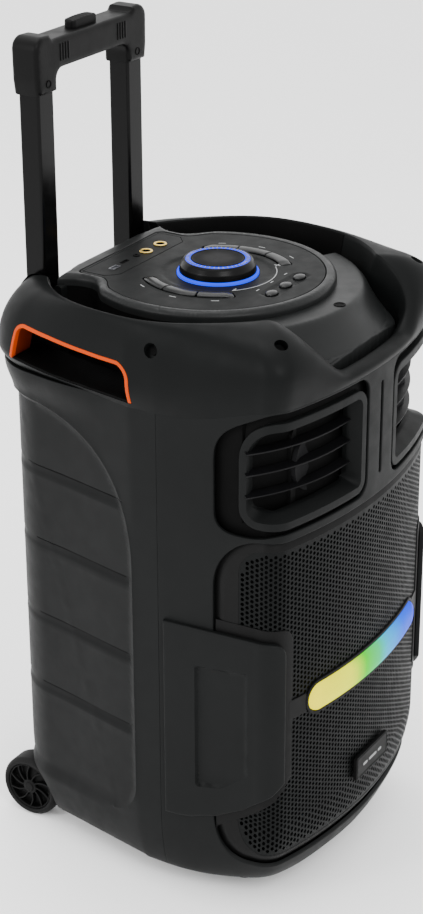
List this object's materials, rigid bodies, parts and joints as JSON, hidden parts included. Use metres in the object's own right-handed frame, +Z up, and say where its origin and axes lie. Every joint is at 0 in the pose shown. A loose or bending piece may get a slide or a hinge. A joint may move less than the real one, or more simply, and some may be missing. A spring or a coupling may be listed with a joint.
{
  "type": "party speaker",
  "caption": "Tall black trolley speaker on wheels with a lit volume knob, a ring-shaped rim with hand slots, a perforated front with a colour light band, and a pull-out handle.",
  "frame": {"origin": "on the floor, under the middle of the speaker's box", "axes": "+Z up, -Y out of the front grille, +X to the right seen from the front"},
  "size_m": [0.392, 0.4329, 0.946],
  "materials": {
    "charcoal": "fine spark-eroded texture",
    "black_plastic": "satin",
    "gloss_black": "polished",
    "panel": "fine matt",
    "grille_black": "powder coat",
    "light": "lit diffuser",
    "blue_light": "lit diffuser",
    "baffle_board": "painted board",
    "magnet": "plated",
    "cone_paper": "coated cone",
    "steel": "plated",
    "gold": "plated",
    "disc": "spun",
    "orange": "satin",
    "rubber": "matt",
    "tube_black": "gloss anodised",
    "battery_wrap": "shrink wrap",
    "board": "solder mask"
  },
  "bodies": {
    "cabinet": {"rear_shell": "charcoal", "front_shell": "charcoal", "base_plate": "black_plastic", "baffle": "baffle_board", "grille": "grille_black", "grille_frame": "black_plastic", "light_band": "light", "light_bezel": "black_plastic", "badge": "gloss_black", "window_frames": "charcoal", "louvres": "black_plastic", "tweeters": "black_plastic", "woofer_frame": "grille_black", "woofer_magnet": "magnet", "woofer_surround": "black_plastic", "side_pad_left": "charcoal", "side_pad_right": "charcoal", "rim_ring": "charcoal", "top_deck": "charcoal", "panel_bezel": "charcoal", "control_panel": "panel", "connector_plate": "panel", "usb_port": "steel", "card_slot": "black_plastic", "aux_jack": "gloss_black", "mic_jacks": "gold", "knob_light": "blue_light", "volume_encoder": "steel", "slot_trims": "orange", "grip_mats": "rubber", "handle_sleeves": "tube_black", "axle": "steel", "front_feet": "rubber", "battery": "battery_wrap", "amplifier": "board", "control_board": "board", "bass_port": "black_plastic", "charge_inlet": "black_plastic", "case_screws": "steel"},
    "handle": {"handle_tubes": "tube_black", "handle_grip": "black_plastic"},
    "release": {"release_button": "gloss_black", "release_linkage": "steel"},
    "left_pin": {"lock_pin_left": "steel"},
    "right_pin": {"lock_pin_right": "steel"},
    "knob": {"knob_body": "gloss_black", "knob_disc": "disc", "knob_glow_ring": "blue_light"},
    "cone": {"woofer_cone": "cone_paper"},
    "left_wheel": {"wheel_left": "rubber"},
    "right_wheel": {"wheel_right": "rubber"},
    "arc_key_1": {"arc_button_1": "gloss_black"},
    "arc_key_2": {"arc_button_2": "gloss_black"},
    "arc_key_3": {"arc_button_3": "gloss_black"},
    "arc_key_4": {"arc_button_4": "gloss_black"},
    "arc_key_5": {"arc_button_5": "gloss_black"},
    "arc_key_6": {"arc_button_6": "gloss_black"},
    "round_key_1": {"round_button_1": "gloss_black"},
    "round_key_2": {"round_button_2": "gloss_black"},
    "round_key_3": {"round_button_3": "gloss_black"}
  },
  "joints": [
    {"name": "handle_slide", "type": "slide", "parent": "cabinet", "child": "handle", "axis": [0, 0, 1], "range_m": [-0.225, 0]},
    {"name": "release_press", "type": "slide", "parent": "handle", "child": "release", "axis": [0, 0, 1], "range_m": [-0.004, 0], "stiffness_N_per_m": 1500, "springref_m": 0.003},
    {"name": "right_pin_slide", "type": "slide", "parent": "handle", "child": "right_pin", "axis": [1, 0, 0], "range_m": [-0.005, 0]},
    {"name": "left_pin_slide", "type": "slide", "parent": "handle", "child": "left_pin", "axis": [-1, 0, 0], "range_m": [-0.005, 0]},
    {"name": "volume_turn", "type": "hinge", "parent": "cabinet", "child": "knob", "pos_m": [0, -0.00565, 0.7], "axis": [0, 0, 1], "continuous": true},
    {"name": "cone_travel", "type": "slide", "parent": "cabinet", "child": "cone", "axis": [0, 1, 0], "range_m": [-0.004, 0.004], "stiffness_N_per_m": 2500},
    {"name": "left_wheel_spin", "type": "hinge", "parent": "cabinet", "child": "left_wheel", "pos_m": [-0.125, 0.17835, 0.0383], "axis": [1, 0, 0], "continuous": true},
    {"name": "right_wheel_spin", "type": "hinge", "parent": "cabinet", "child": "right_wheel", "pos_m": [0.125, 0.17835, 0.0383], "axis": [1, 0, 0], "continuous": true},
    {"name": "arc_press_1", "type": "slide", "parent": "cabinet", "child": "arc_key_1", "axis": [0, 0, 1], "range_m": [-0.001, 0], "stiffness_N_per_m": 900, "springref_m": 0.0005},
    {"name": "arc_press_2", "type": "slide", "parent": "cabinet", "child": "arc_key_2", "axis": [0, 0, 1], "range_m": [-0.001, 0], "stiffness_N_per_m": 900, "springref_m": 0.0005},
    {"name": "arc_press_3", "type": "slide", "parent": "cabinet", "child": "arc_key_3", "axis": [0, 0, 1], "range_m": [-0.001, 0], "stiffness_N_per_m": 900, "springref_m": 0.0005},
    {"name": "arc_press_4", "type": "slide", "parent": "cabinet", "child": "arc_key_4", "axis": [0, 0, 1], "range_m": [-0.001, 0], "stiffness_N_per_m": 900, "springref_m": 0.0005},
    {"name": "arc_press_5", "type": "slide", "parent": "cabinet", "child": "arc_key_5", "axis": [0, 0, 1], "range_m": [-0.001, 0], "stiffness_N_per_m": 900, "springref_m": 0.0005},
    {"name": "arc_press_6", "type": "slide", "parent": "cabinet", "child": "arc_key_6", "axis": [0, 0, 1], "range_m": [-0.001, 0], "stiffness_N_per_m": 900, "springref_m": 0.0005},
    {"name": "round_press_1", "type": "slide", "parent": "cabinet", "child": "round_key_1", "axis": [0, 0, 1], "range_m": [-0.001, 0], "stiffness_N_per_m": 900, "springref_m": 0.0005},
    {"name": "round_press_2", "type": "slide", "parent": "cabinet", "child": "round_key_2", "axis": [0, 0, 1], "range_m": [-0.001, 0], "stiffness_N_per_m": 900, "springref_m": 0.0005},
    {"name": "round_press_3", "type": "slide", "parent": "cabinet", "child": "round_key_3", "axis": [0, 0, 1], "range_m": [-0.001, 0], "stiffness_N_per_m": 900, "springref_m": 0.0005}
  ],
  "couplings": [
    {"joint": "right_pin_slide", "follows": "release_press", "ratio": 1.25},
    {"joint": "left_pin_slide", "follows": "release_press", "ratio": 1.25}
  ]
}
